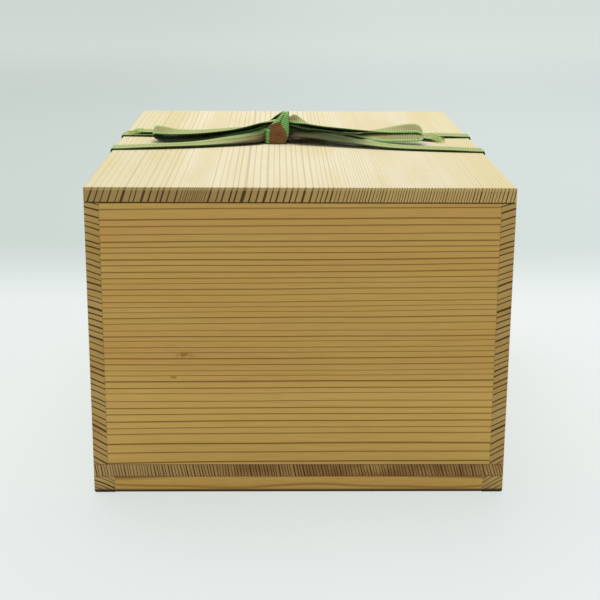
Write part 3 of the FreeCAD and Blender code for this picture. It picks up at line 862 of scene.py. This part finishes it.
@dataclass
class FlatCord:
    """A stretch of the flat cord, woven along a route and given its ribs.

    A run gives a value at shares of the length. The thread runs say which part of the cord's
    width shows, and the folds how much of its middle is folded away. The shades paint shade on
    its rims and on the face that the sign of outer picks, and two more runs paint shade over all
    of its width or over its front.
    """

    name: str
    route: list[Bearing] | list[WrapBearing]
    thick: float = 0.0012
    rib: float = 0.00135
    steps_per_rib: int = 4
    side_columns: int = 7
    rib_depth: float = 0.20
    scallop: float = 0.035
    weld: float = 0.000004
    folds: Run = NONE
    tuck: float = 0.0
    tuck_gain: float = 2.2
    outer: float = 1.0
    shades: Run = FULL
    whole_painted_shade: Run = NONE
    front_painted_shade: Run = NONE
    front_reach: float = 0.25
    first_thread: Run = NONE
    last_thread: Run = FULL
    middle_line: list[Place] = field(default_factory=list)

    def edge_line(self, which: int) -> np.ndarray:
        """Reads one line of the cord from a smooth spline through its route.

        Args:
            which: 0 for the front edge, 1 for the middle and 2 for the rear edge.

        Returns:
            The points of the line.
        """
        holder = new_curve(f"{self.name}_line", 24)
        curve = holder.data
        new_line(curve, [bearing.edges()[which] for bearing in self.route])
        bpy.context.view_layer.update()
        depsgraph = bpy.context.evaluated_depsgraph_get()
        line = bpy.data.meshes.new_from_object(holder.evaluated_get(depsgraph))
        points = np.array([vertex.co[:] for vertex in line.vertices])
        bpy.data.objects.remove(holder)
        bpy.data.curves.remove(curve)
        bpy.data.meshes.remove(line)
        return points

    def lines(self) -> tuple[np.ndarray, np.ndarray, np.ndarray, np.ndarray]:
        """The two edges and the middle at even steps, with the distance along.

        Returns:
            The front edge, the middle, the rear edge and the distance of each step.
        """
        front, middle, rear = (self.edge_line(which) for which in range(3))
        gaps = np.linalg.norm(np.diff(middle, axis=0), axis=1)
        distance = np.concatenate([[0.0], np.cumsum(gaps)])
        count = max(int(distance[-1] / self.rib * self.steps_per_rib), 8)
        even = np.linspace(0.0, distance[-1], count + 1)

        def at(line: np.ndarray) -> np.ndarray:
            """A line's points at the even steps."""
            parts = [np.interp(even, distance, line[:, axis]) for axis in range(3)]
            return np.stack(parts, axis=1)

        return at(front), at(middle), at(rear), even

    def build(self) -> bpy.types.Object:
        """Weaves the stretch: a grid primitive, laid along the route and closed round.

        Returns:
            The new object, at the origin.
        """
        front, middle, rear, distance = self.lines()
        self.middle_line = [tuple(float(part) for part in point) for point in middle[::4]]
        steps = len(distance)
        spread = np.sin(np.linspace(-0.5, 0.5, 2 * self.side_columns + 1) * math.pi)
        crown = np.sqrt(np.clip(1.0 - np.abs(spread) ** 6, 0.0, 1.0))
        around = np.concatenate([spread, spread[-2:0:-1], spread[:1]])
        level = np.concatenate([crown, -crown[-2:0:-1], crown[:1]])
        clear_selection()
        bpy.ops.mesh.primitive_grid_add(x_subdivisions=steps - 1, y_subdivisions=len(around) - 1,
                                        size=1.0, calc_uvs=True)
        cord = bpy.context.object
        cord.name = cord.data.name = self.name
        flat = np.empty(len(cord.data.vertices) * 3)
        cord.data.vertices.foreach_get("co", flat)
        flat = flat.reshape(-1, 3)
        step = np.rint((flat[:, 0] + 0.5) * (steps - 1)).astype(int)
        column = np.rint((flat[:, 1] + 0.5) * (len(around) - 1)).astype(int)
        share, level = around[column], level[column]
        ahead = np.gradient(middle, axis=0)
        ahead /= np.linalg.norm(ahead, axis=1, keepdims=True)
        half = (rear - front) / 2.0
        sag = (rear + front) / 2.0 - middle
        across = half[step] + 2.0 * sag[step] * share[:, None]
        normal = np.cross(ahead[step], across)
        normal /= np.linalg.norm(normal, axis=1, keepdims=True)
        shift = np.einsum("ij,ij->i", half[step] * share[:, None], ahead[step])
        phase = (distance[step] + shift) / self.rib
        dip = 0.5 - 0.5 * np.cos(2.0 * math.pi * phase)
        wide = (share * (1.0 - self.scallop * dip))[:, None]
        high = (self.thick / 2.0) * level * (1.0 - self.rib_depth * dip)
        place = (middle[step] + half[step] * wide + sag[step] * wide ** 2
                 + normal * high[:, None])
        cord.data.vertices.foreach_set("co", place.astype(np.float32).ravel())
        self.map_threads(cord.data, np.stack([phase, self.threads(half, step, share)], axis=1))
        # Painted shade, kept in an attribute for the material: rims, one face and the two runs.
        shades, whole_painted_shade, front_painted_shade = (self.values(run, steps)[step] for run in (
            self.shades, self.whole_painted_shade, self.front_painted_shade))
        painted_darkening = (0.5 - 0.5 * level * self.outer) * shades + whole_painted_shade
        painted_darkening += front_painted_shade * np.clip(self.front_reach - share, 0.0, 1.0)
        side = cord.data.attributes.new("painted_light_level", "FLOAT", "POINT")
        side.data.foreach_set("value", (1.0 - painted_darkening).astype(np.float32))
        cord.data.update()
        self.close_round(cord)
        return cord

    def values(self, run: Run, count: int) -> np.ndarray:
        """A run's values at so many even steps of the length."""
        return np.interp(np.linspace(0.0, 1.0, count), *zip(*run))

    def threads(self, half: np.ndarray, step: np.ndarray, share: np.ndarray) -> np.ndarray:
        """Says which thread of the cord's width shows at each point of the grid.

        Args:
            half: The half width at each step, as vectors.
            step: The step of each point.
            share: The share of the half width of each point, -1 to 1.

        Returns:
            The thread's place between the cord's two edges, 0 to 1.
        """
        folds, first, last = (self.values(run, len(half))[step] for run in (
            self.folds, self.first_thread, self.last_thread))
        off_middle = 1.0 - (1.0 - np.abs(share)) * (1.0 - folds)
        thread = first + (last - first) * (0.5 + 0.5 * np.sign(share + 1e-6) * off_middle)
        size = np.linalg.norm(half, axis=1)
        rolled = np.abs(half[:, 2]) / size * self.tuck_gain + 1.0 - size / size.max()
        hidden = (self.tuck * np.clip(rolled, 0.0, 1.0))[step]
        return hidden + (1.0 - hidden) * thread

    def map_threads(self, mesh: bpy.types.Mesh, thread: np.ndarray) -> None:
        """Writes the ribs and threads of the points into the mesh's map.

        Args:
            mesh: The cord's mesh.
            thread: The rib and the thread of each point.
        """
        corners = np.empty(len(mesh.loops), dtype=int)
        mesh.loops.foreach_get("vertex_index", corners)
        mesh.uv_layers[0].data.foreach_set("uv", thread[corners].astype(np.float32).ravel())

    def close_round(self, cord: bpy.types.Object) -> None:
        """Joins the long seam, caps both ends and turns the faces outward.

        Args:
            cord: The stretch.
        """
        select_only(cord)
        bpy.ops.object.mode_set(mode="EDIT")
        bpy.ops.mesh.select_all(action="SELECT")
        bpy.ops.mesh.remove_doubles(threshold=self.weld)
        bpy.ops.mesh.select_all(action="DESELECT")
        bpy.ops.mesh.select_mode(type="EDGE")
        bpy.ops.mesh.select_non_manifold(extend=False)
        bpy.ops.mesh.fill_holes(sides=0)
        bpy.ops.mesh.select_all(action="SELECT")
        bpy.ops.mesh.normals_make_consistent(inside=False)
        bpy.ops.object.mode_set(mode="OBJECT")
        bpy.ops.object.shade_smooth()


@dataclass
class TiedCord:
    """The flat cord that ties the box: two turns, the knot, the bow and the two cut ends."""

    wide: float = 0.014
    thick: float = 0.0012
    lid_top: float = 0.1588
    half_box: float = 0.105
    under: float = 0.0082
    rail_top: float = 0.0088
    notch: float = 0.059
    knot_x: float = -0.0115
    knot_long: float = 0.014
    thread_count: int = 46
    thread_radius: float = 0.00022
    thread_parts: int = 4

    @property
    def left(self) -> float:
        """Where the knot's left edge lies."""
        return self.knot_x - self.knot_long / 2

    @property
    def right(self) -> float:
        """Where the knot's right edge lies."""
        return self.knot_x + self.knot_long / 2

    def over_lid(self, points: list[tuple[float, ...]], by_edge: bool = False) -> list[Bearing]:
        """Turns route points over the lid into bearings.

        Args:
            points: Each point's x, y, height over the lid and roll, then its cup, which is 0
                unless given, and its width, which is the cord's unless given.
            by_edge: Whether the heights are those of the cord's lower edge, not its middle.

        Returns:
            The bearings.
        """
        bearings = []
        for x, y, height, roll, *rest in points:
            cup, width = (*rest, *(0.0, self.wide)[len(rest):])
            if by_edge:
                turn = math.radians(abs(roll))
                height += width / 2.0 * math.sin(turn) + self.thick / 2.0 * math.cos(turn)
            bearings.append(Bearing(x, y, self.lid_top + height, roll, width, cup))
        return bearings

    def side_run(self, side: int, edge_y: float, slot_y: float) -> list[Bearing]:
        """The cord from under the bottom board up one side and over the lid's edge.

        Args:
            side: -1 for the left side and 1 for the right.
            edge_y: Where the cord crosses the lid's edge.
            slot_y: Where its notch lies.

        Returns:
            The bearings, from below to the top.
        """
        out = self.half_box + self.thick / 2.0
        low, high = self.rail_top, self.lid_top

        def y_at(z: float) -> float:
            """Where the leaning run lies at a height."""
            return slot_y + (edge_y - slot_y) * (z - low) / (high - low)

        points = (
            (0.0, slot_y, self.under), (self.half_box - 0.012, slot_y, self.under),
            (self.half_box - 0.0025, slot_y, self.under),
            (out + 0.0002, slot_y, self.under - 0.0002), (out, slot_y, 0.0113),
            (out, y_at(0.020), 0.020), (out + 0.0004, y_at(0.083), 0.083),
            (out, y_at(0.147), 0.147), (out, y_at(0.1563), 0.1563),
            (out + 0.0002, edge_y, self.lid_top + 0.0008),
            (self.half_box - 0.0016, edge_y, self.lid_top + 0.0006))
        return [Bearing(side * x, y, z) for x, y, z in points]

    def front_over(self) -> list[Bearing]:
        """The front strand's route over the lid, left to right.

        Returns:
            The bearings.
        """
        return self.over_lid([
            (-0.0880, -0.0234, 0.0, 0, 0.0007), (-0.0720, -0.0208, 0.0, 0, 0.0010),
            (-0.0570, -0.0172, 0.0, 2, 0.0010), (-0.0390, -0.0110, 0.0, 11, 0.0010),
            (-0.0300, -0.0076, 0.0, 16, 0.0010), (-0.0210, -0.0036, 0.0003, 25, 0.0008),
            (self.left, -0.0015, 0.0015, 45, 0.0005, 0.010),
            (self.right, -0.0015, 0.0015, 45, 0.0005, 0.010), (0.0, -0.0026, 0.0030, 18, 0.0008),
            (0.0060, -0.0046, 0.0030, 15, 0.0008), (0.0140, -0.0074, 0.0026, 13, 0.0008),
            (0.0260, -0.0122, 0.0016, 8, 0.0008), (0.0400, -0.0178, 0.0006, 4, 0.0008),
            (0.0560, -0.0232, 0.0, 1, 0.0006), (0.0720, -0.0270, 0.0, 0, 0.0006),
            (0.0880, -0.0298, 0.0, 0, 0.0006),
        ], by_edge=True)

    def rear_over(self) -> list[Bearing]:
        """The rear strand's route over the lid, left to right.

        Returns:
            The bearings.
        """
        return self.over_lid([
            (-0.0880, 0.0272, 0.0, 0, 0.0006), (-0.0720, 0.0242, 0.0, 0, 0.0006),
            (-0.0570, 0.0202, 0.0, -5, 0.0006), (-0.0390, 0.0158, 0.0, -13, 0.0006),
            (-0.0300, 0.0136, 0.0, -17, 0.0006), (-0.0210, 0.0112, 0.0003, -26, 0.0006),
            (self.left, 0.0095, 0.0015, -45, 0.0005, 0.010),
            (self.right, 0.0095, 0.0015, -45, 0.0005, 0.010),
            (-0.0020, 0.0112, 0.0003, -33, 0.0006), (0.0080, 0.0134, 0.0, -22, 0.0006),
            (0.0180, 0.0156, 0.0, -13, 0.0006), (0.0340, 0.0190, 0.0, -5, 0.0006),
            (0.0520, 0.0220, 0.0, 0, 0.0006), (0.0700, 0.0242, 0.0, 0, 0.0006),
            (0.0880, 0.0252, 0.0, 0, 0.0008),
        ], by_edge=True)

    def bow_left(self) -> list[Bearing]:
        """The left loop's route: out above, round its end and back below.

        Returns:
            The bearings.
        """
        return self.over_lid([
            (self.knot_x, 0.0040, 0.0124, 0, 0.0, 0.009),
            (self.left, 0.0046, 0.0112, -4, 0.0, 0.009),
            (-0.0220, 0.0050, 0.0101, -11, 0.0, 0.012), (-0.0300, 0.0054, 0.0079, -8, 0.0002),
            (-0.0390, 0.0046, 0.0067, -1, 0.0004), (-0.0560, 0.0034, 0.0052, 1, 0.0004),
            (-0.0700, 0.0040, 0.0050, 4, 0.0002), (-0.0790, 0.0042, 0.0062, 13),
            (-0.0844, 0.0042, 0.0068, 14), (-0.0844, 0.0042, 0.0046, 11),
            (-0.0806, 0.0042, 0.0018, 7), (-0.0740, 0.0040, 0.0015, 6),
            (-0.0680, 0.0034, 0.0018, 8), (-0.0570, 0.0026, 0.0024, 12),
            (-0.0480, 0.0020, 0.0034, 12), (-0.0390, 0.0034, 0.0051, 6),
            (-0.0300, 0.0050, 0.0064, 2), (-0.0220, 0.0050, 0.0084, 1, 0.0, 0.012),
            (self.left, 0.0046, 0.0101, 4, 0.0, 0.009),
            (self.knot_x, 0.0040, 0.0103, 0, 0.0, 0.009),
        ])

    def bow_right(self) -> list[Bearing]:
        """The right loop's route: out above, round its end and back below.

        Returns:
            The bearings.
        """
        return self.over_lid([
            (self.knot_x, 0.0040, 0.0124, 0, 0.0, 0.009),
            (self.right, 0.0042, 0.0128, 12, 0.0, 0.009),
            (-0.0010, 0.0050, 0.0136, 28, 0.0, 0.011), (0.0040, 0.0050, 0.0114, 0),
            (0.0090, 0.0046, 0.0093, -12), (0.0150, 0.0040, 0.0082, -14),
            (0.0260, 0.0028, 0.0071, -16), (0.0400, 0.0014, 0.0063, -13),
            (0.0530, 0.0004, 0.0072, 4), (0.0640, -0.0006, 0.0086, 14),
            (0.0720, -0.0016, 0.0090, 15), (0.0740, -0.0064, 0.0064, 10),
            (0.0724, -0.0108, 0.0050, 12), (0.0680, -0.0108, 0.0048, 12),
            (0.0580, -0.0094, 0.0045, 13), (0.0500, -0.0078, 0.0043, 14),
            (0.0420, -0.0044, 0.0046, 9), (0.0350, -0.0010, 0.0045, -4),
            (0.0280, 0.0016, 0.0053, -8), (0.0140, 0.0030, 0.0071, -6),
            (0.0100, 0.0032, 0.0080, 0), (0.0050, 0.0034, 0.0090, 7),
            (0.0, 0.0038, 0.0096, 2, 0.0, 0.011), (self.right, 0.0040, 0.0103, 0, 0.0, 0.009),
            (self.knot_x, 0.0040, 0.0103, 0, 0.0, 0.009),
        ])

    def end_left(self) -> list[Bearing]:
        """The left cut end's route, along the rear strand.

        Returns:
            The bearings.
        """
        return self.over_lid([
            (self.knot_x, 0.0113, 0.0056, -45, 0.0, 0.008),
            (self.left, 0.0113, 0.0056, -45, 0.0, 0.008),
            (-0.0210, 0.0137, 0.0046, -26, 0.0, 0.010),
            (-0.0300, 0.0164, 0.0036, -17, 0.0, 0.012), (-0.0390, 0.0176, 0.0033, -13, 0.0004),
            (-0.0570, 0.0218, 0.0026, -5, 0.0004), (-0.0720, 0.0257, 0.0021, 0, 0.0004),
            (-0.0880, 0.0287, 0.0021, 0, 0.0004), (-0.0945, 0.0294, 0.0021, 0, 0.0004),
        ])

    def end_right(self) -> list[Bearing]:
        """The right cut end's route, along the rear strand and off it at the end.

        Returns:
            The bearings.
        """
        return self.over_lid([
            (self.knot_x, 0.0113, 0.0056, -45, 0.0, 0.008),
            (self.right, 0.0113, 0.0056, -45, 0.0, 0.008),
            (-0.0020, 0.0137, 0.0047, -33, 0.0, 0.010),
            (0.0080, 0.0164, 0.0036, -22, 0.0, 0.012), (0.0180, 0.0174, 0.0032, -13, 0.0004),
            (0.0340, 0.0201, 0.0026, -5, 0.0004), (0.0480, 0.0216, 0.0022, 0, 0.0004),
            (0.0580, 0.0206, 0.0021, 2, 0.0004), (0.0670, 0.0176, 0.0021, 4, 0.0004),
            (0.0750, 0.0136, 0.0020, 6, 0.0004), (0.0815, 0.0096, 0.0018, 7, 0.0004),
        ])

    def wrap(self) -> tuple[list[WrapBearing], Run]:
        """The knot's wrap: round both strands, folded narrow at its top.

        Returns:
            The bearings and the run of the share of its width that is folded away.
        """
        wide = self.knot_long
        points = [
            (0.0047, 0.00065, wide, 0.0, 0.0, 0.0),
            (-0.0056, 0.00065, 0.0120, -0.0008, 0.0, 0.0),
            (-0.0072, 0.0012, 0.0124, -0.0008, 0.0003, 0.0),
            (-0.0070, 0.0045, 0.0140, 0.0, 0.0010, 0.0),
            (-0.0054, 0.0088, 0.0140, 0.0003, 0.0012, 0.12),
            (-0.0028, 0.0125, 0.0092, 0.0024, 0.0008, 0.80),
            (0.0, 0.0156, 0.0056, 0.0042, 0.0, 0.75),
            (0.0030, 0.0176, 0.0036, 0.0052, -0.0006, 0.72),
            (0.0062, 0.0164, 0.0054, 0.0044, 0.0, 0.60),
            (0.0104, 0.0134, 0.0100, 0.0020, 0.0006, 0.15),
            (0.0146, 0.0084, wide, 0.0, 0.0010, 0.0),
            (0.0174, 0.0030, wide, 0.0, 0.0003, 0.0),
            (0.0165, 0.00065, wide, 0.0, 0.0, 0.0),
            (0.0053, 0.00065, wide, 0.0, 0.0, 0.0),
        ]
        bearings = [WrapBearing(y, self.lid_top + height, width, self.knot_x + shift, bulge)
                    for y, height, width, shift, bulge, _ in points]
        shares = np.linspace(0.0, 1.0, len(points))
        return bearings, tuple((share, fold) for share, (*_, fold) in zip(shares, points))

    def fringe(self, name: str, end: Bearing, way: Vector, seed: int) -> bpy.types.Object:
        """The loosened threads past a cut end.

        Args:
            name: The piece's name.
            end: The cord's last bearing.
            way: The direction that the cord ends in.
            seed: Sets the threads' lengths and turns, the same at every run.

        Returns:
            One mesh of all the threads.
        """
        rng = np.random.default_rng(seed)
        front, _, rear = end.edges()
        holder = new_curve(name, 4)
        curve = holder.data
        curve.bevel_depth = self.thread_radius
        curve.bevel_resolution = 1
        side = (rear - front).normalized()
        floor = self.lid_top + curve.bevel_depth
        parts = [step / self.thread_parts for step in range(self.thread_parts + 1)]
        for index in range(self.thread_count):
            share = (index + 0.5) / self.thread_count
            root = front.lerp(rear, share) - way * 0.0006
            root.z += float(rng.uniform(-0.3, 0.3)) * self.thick
            reach = float(rng.uniform(0.0035, 0.0100)) * (0.75 + 0.25 * math.sin(math.pi * share))
            spread = (share - 0.5) * 0.5 + float(rng.normal(0.0, 0.30))
            places = []
            for part in parts:
                place = root + way * (reach * part) + side * (reach * spread * part * part)
                place.z += float(rng.uniform(-0.0002, 0.0005)) * part * 2.0
                place.z -= (place.z - floor) * part * part * float(rng.uniform(0.3, 1.0))
                place.z = max(place.z, floor)
                places.append(place)
            for held, part in zip(new_line(curve, places).points, parts):
                held.radius = 1.0 - 0.45 * part
        select_only(holder)
        bpy.ops.object.convert(target="MESH")
        return bpy.context.object

    def build(self, weave: EffectGroup) -> None:
        """Weaves every stretch of the cord and hides the model's parts that they replace.

        Args:
            weave: The shared weave group.
        """
        cloth = CordFinish("woven_flat_cord").material(weave)
        self.build_turns(cloth)
        self.build_knot(cloth)
        self.build_bow(cloth)
        self.build_ends(cloth, FringeFinish().material())

    def build_turns(self, cloth: bpy.types.Material) -> None:
        """Weaves the two turns, the front one painted darker where the bow shades it.

        Args:
            cloth: The cord's material.
        """
        # Painted shade: both turns darken on rims and undersides, the front one more by the knot.
        painted_shade = ((0.0, 0.0), (0.490, 0.0), (0.495, 0.45), (0.535, 0.45), (0.575, 0.0), (1.0, 0.0))
        shaded = ((0.0, 0.0), (0.42, 0.0), (0.445, 0.25), (0.458, 0.42), (0.478, 0.45),
                  (0.49, 0.0), (1.0, 0.0))
        for which, over, edges, slot_y, tuck, whole_painted_shade, front_painted_shade in (
                ("front", self.front_over(), (-0.0250, -0.0320), -self.notch, 0.4, painted_shade, shaded),
                ("rear", self.rear_over(), (0.0286, 0.0255), self.notch, 0.0, NONE, NONE)):
            left, right = (self.side_run(*run, slot_y) for run in ((-1, edges[0]), (1, edges[1])))
            piece = FlatCord(f"cord_turn_{which}", left + over + right[::-1], tuck=tuck, whole_painted_shade=whole_painted_shade,
                             front_painted_shade=front_painted_shade).build()
            self.dress_cord(piece, cloth)
            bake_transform(piece)
            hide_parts(f"cord_{which}_lower", f"cord_{which}_top")

    def build_knot(self, cloth: bpy.types.Material) -> None:
        """Weaves the knot's wrap, which shows its brown between a green top and right border.

        Args:
            cloth: The cord's material.
        """
        lid = Body.LID.value
        first = ((0.0, 0.0), (0.1, 0.08), (0.28, 0.08), (0.31, 0.22), (0.335, 0.20), (0.36, 0.0),
                 (1.0, 0.0))
        last = ((0.0, 0.8), (0.19, 0.8), (0.25, 0.88), (0.30, 1.0), (1.0, 1.0))
        bearings, folds = self.wrap()
        # The wrap gets painted shade on its rims and on one face.
        knot = FlatCord("cord_wrap", bearings, thick=0.0013, folds=folds, outer=-1.0,
                        first_thread=first, last_thread=last).build()
        self.dress_cord(knot, cloth)
        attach(knot, lid)
        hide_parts("cord_knot")

    def build_bow(self, cloth: bpy.types.Material) -> None:
        """Weaves the two loops.

        Args:
            cloth: The cord's material.
        """
        lid = Body.LID.value
        # Painted shade on the right loop's face towards its hollow, less of it round the loop's
        # end.
        loop_painted_shade = ((0.0, 1.0), (0.1, 0.4), (0.4, 0.3), (0.46, 0.0), (0.66, 0.0), (0.74, 0.5),
               (0.85, 1.0))
        for name, route, node, outer, shades in (
                ("cord_bow_left", self.bow_left(), "cord_loop_left", -1.0, FULL),
                ("cord_bow_right", self.bow_right(), "cord_loop_right", 1.0, loop_painted_shade)):
            piece = FlatCord(name, route, outer=outer, shades=shades).build()
            self.dress_cord(piece, cloth)
            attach(piece, lid)
            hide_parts(node)

    def build_ends(self, cloth: bpy.types.Material, loose: bpy.types.Material) -> None:
        """Weaves the two cut ends and their fringes.

        Args:
            cloth: The cord's material.
            loose: The material of the loosened threads.
        """
        lid = Body.LID.value
        for name, route, node, seed, outer in (
                ("cord_end_left", self.end_left(), "cord_tail_left", 4, -1.0),
                ("cord_end_right", self.end_right(), "cord_tail_right", 9, 1.0)):
            # Each end gets painted shade on its rims and on one face.
            woven = FlatCord(name, route, outer=outer)
            piece = woven.build()
            self.dress_cord(piece, cloth)
            last, before = Vector(woven.middle_line[-1]), Vector(woven.middle_line[-3])
            threads = self.fringe(f"{name}_threads", route[-1], (last - before).normalized(), seed)
            threads.data.materials.clear()
            threads.data.materials.append(loose)
            for made in (piece, threads):
                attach(made, lid)
            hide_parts(node)

    def dress_cord(self, piece: bpy.types.Object, cloth: bpy.types.Material) -> None:
        """Gives a stretch of the cord its material and notes it.

        Args:
            piece: The stretch.
            cloth: The cord's material.
        """
        piece.data.materials.clear()
        piece.data.materials.append(cloth)
        LOG.info("wove %s with %d faces", piece.name, len(piece.data.polygons))


@dataclass
class Studio:
    """The pale floor, the soft light and the camera."""

    lens: float = 78.29
    camera_place: Place = (-0.01114, -0.76932, 0.27358)
    pitch: float = 15.371
    yaw: float = 1.022
    roll: float = 0.341
    floor_size: float = 40.0
    glow_share: float = 0.75
    near_left: Colour = srgb(230, 236, 234)
    near_right: Colour = srgb(237, 243, 241)
    far_left: Colour = srgb(202, 211, 206)
    far_right: Colour = srgb(214, 223, 220)
    last_left: Colour = srgb(220, 228, 222)
    last_right: Colour = srgb(228, 236, 231)
    window_place: Place = (-0.20, 0.80, 2.05)
    window_aim: Place = (0.0, 0.0, 0.08)
    window_size: float = 1.7
    window_power: float = 36.0
    air_colour: Colour = srgb(238, 242, 244)
    air_strength: float = 0.56

    def camera(self) -> None:
        """Makes the camera that matches the photograph."""
        data = bpy.data.cameras.new("camera")
        data.sensor_width = 36.0
        data.lens = self.lens
        data.clip_start = 0.01
        data.clip_end = 100.0
        held = bpy.data.objects.new("camera", data)
        bpy.context.scene.collection.objects.link(held)
        pitch, yaw, roll = (math.radians(part) for part in (self.pitch, self.yaw, self.roll))
        ahead = Vector((math.sin(yaw) * math.cos(pitch), math.cos(yaw) * math.cos(pitch),
                        -math.sin(pitch)))
        level = Vector((math.cos(yaw), -math.sin(yaw), 0.0))
        upright = level.cross(ahead)
        right = level * math.cos(roll) + upright * math.sin(roll)
        up = upright * math.cos(roll) - level * math.sin(roll)
        turn = Matrix((right, up, -ahead)).transposed().to_4x4()
        held.matrix_world = Matrix.Translation(Vector(self.camera_place)) @ turn
        bpy.context.scene.camera = held

    def floor(self) -> None:
        """Makes the pale floor, with painted shade that greys it towards the rear and the left."""
        clear_selection()
        bpy.ops.mesh.primitive_plane_add(size=self.floor_size)
        floor = bpy.context.object
        floor.name = "floor"
        made, g = new_material("pale_paper")
        place = g.split(g.node("ShaderNodeTexCoord").outputs["Object"])
        aside = g.step(place["X"], -0.5, 0.5)
        near = g.mix(aside, self.near_left, self.near_right)
        far = g.mix(aside, self.far_left, self.far_right)
        last = g.mix(aside, self.last_left, self.last_right)
        # Painted shade for a backdrop turning up out of the light, then painted light far off.
        colour = g.mix(g.step(place["Y"], 0.19, 0.44), near, far)
        colour = g.mix(g.step(place["Y"], 1.5, 3.0), colour, last)
        paper = g.fed(g.node("ShaderNodeBsdfDiffuse"), Color=colour)["BSDF"]
        # The floor glows for camera rays, a painted light that thins its shadows.
        glow = g.fed(g.node("ShaderNodeEmission"), Color=colour)["Emission"]
        seen = g.node("ShaderNodeLightPath").outputs["Is Camera Ray"]
        blend = g.node("ShaderNodeMixShader")
        for socket, value in zip(blend.inputs, (g.times(seen, self.glow_share), paper, glow)):
            g.feed(socket, value)
        g.fed(g.node("ShaderNodeOutputMaterial"), Surface=blend.outputs["Shader"])
        floor.data.materials.append(made)

    def window(self) -> None:
        """Adds one soft square lamp that faces the box."""
        data = bpy.data.lights.new("window", "AREA")
        data.shape = "SQUARE"
        data.size = self.window_size
        data.energy = self.window_power
        held = bpy.data.objects.new("window", data)
        held.location = self.window_place
        aim = Vector(self.window_aim) - Vector(self.window_place)
        held.rotation_euler = aim.to_track_quat("-Z", "Y").to_euler()
        bpy.context.scene.collection.objects.link(held)

    def air(self) -> None:
        """Lights everything evenly a little, with no tone mapping over it."""
        world = bpy.data.worlds.new("studio_air")
        world.use_nodes = True
        back = world.node_tree.nodes["Background"].inputs
        back["Color"].default_value = self.air_colour
        back["Strength"].default_value = self.air_strength
        bpy.context.scene.world = world
        bpy.context.scene.view_settings.view_transform = "Standard"

    def build(self) -> None:
        """Makes the whole studio."""
        self.camera()
        self.floor()
        self.window()
        self.air()
        LOG.info("set up the studio")


def main() -> None:
    """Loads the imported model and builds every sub-assembly in order."""
    logging.basicConfig(level=logging.INFO, format="%(name)s: %(message)s")
    FRAME.update(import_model())
    rings = growth_ring_group()
    weave = flat_weave_group()
    pegs = PegFinish().material()
    Carcass().build(rings, pegs)
    LidFrame().build(rings, pegs)
    TiedCord().build(weave)
    Studio().build()


if __name__ == "__main__":
    main()
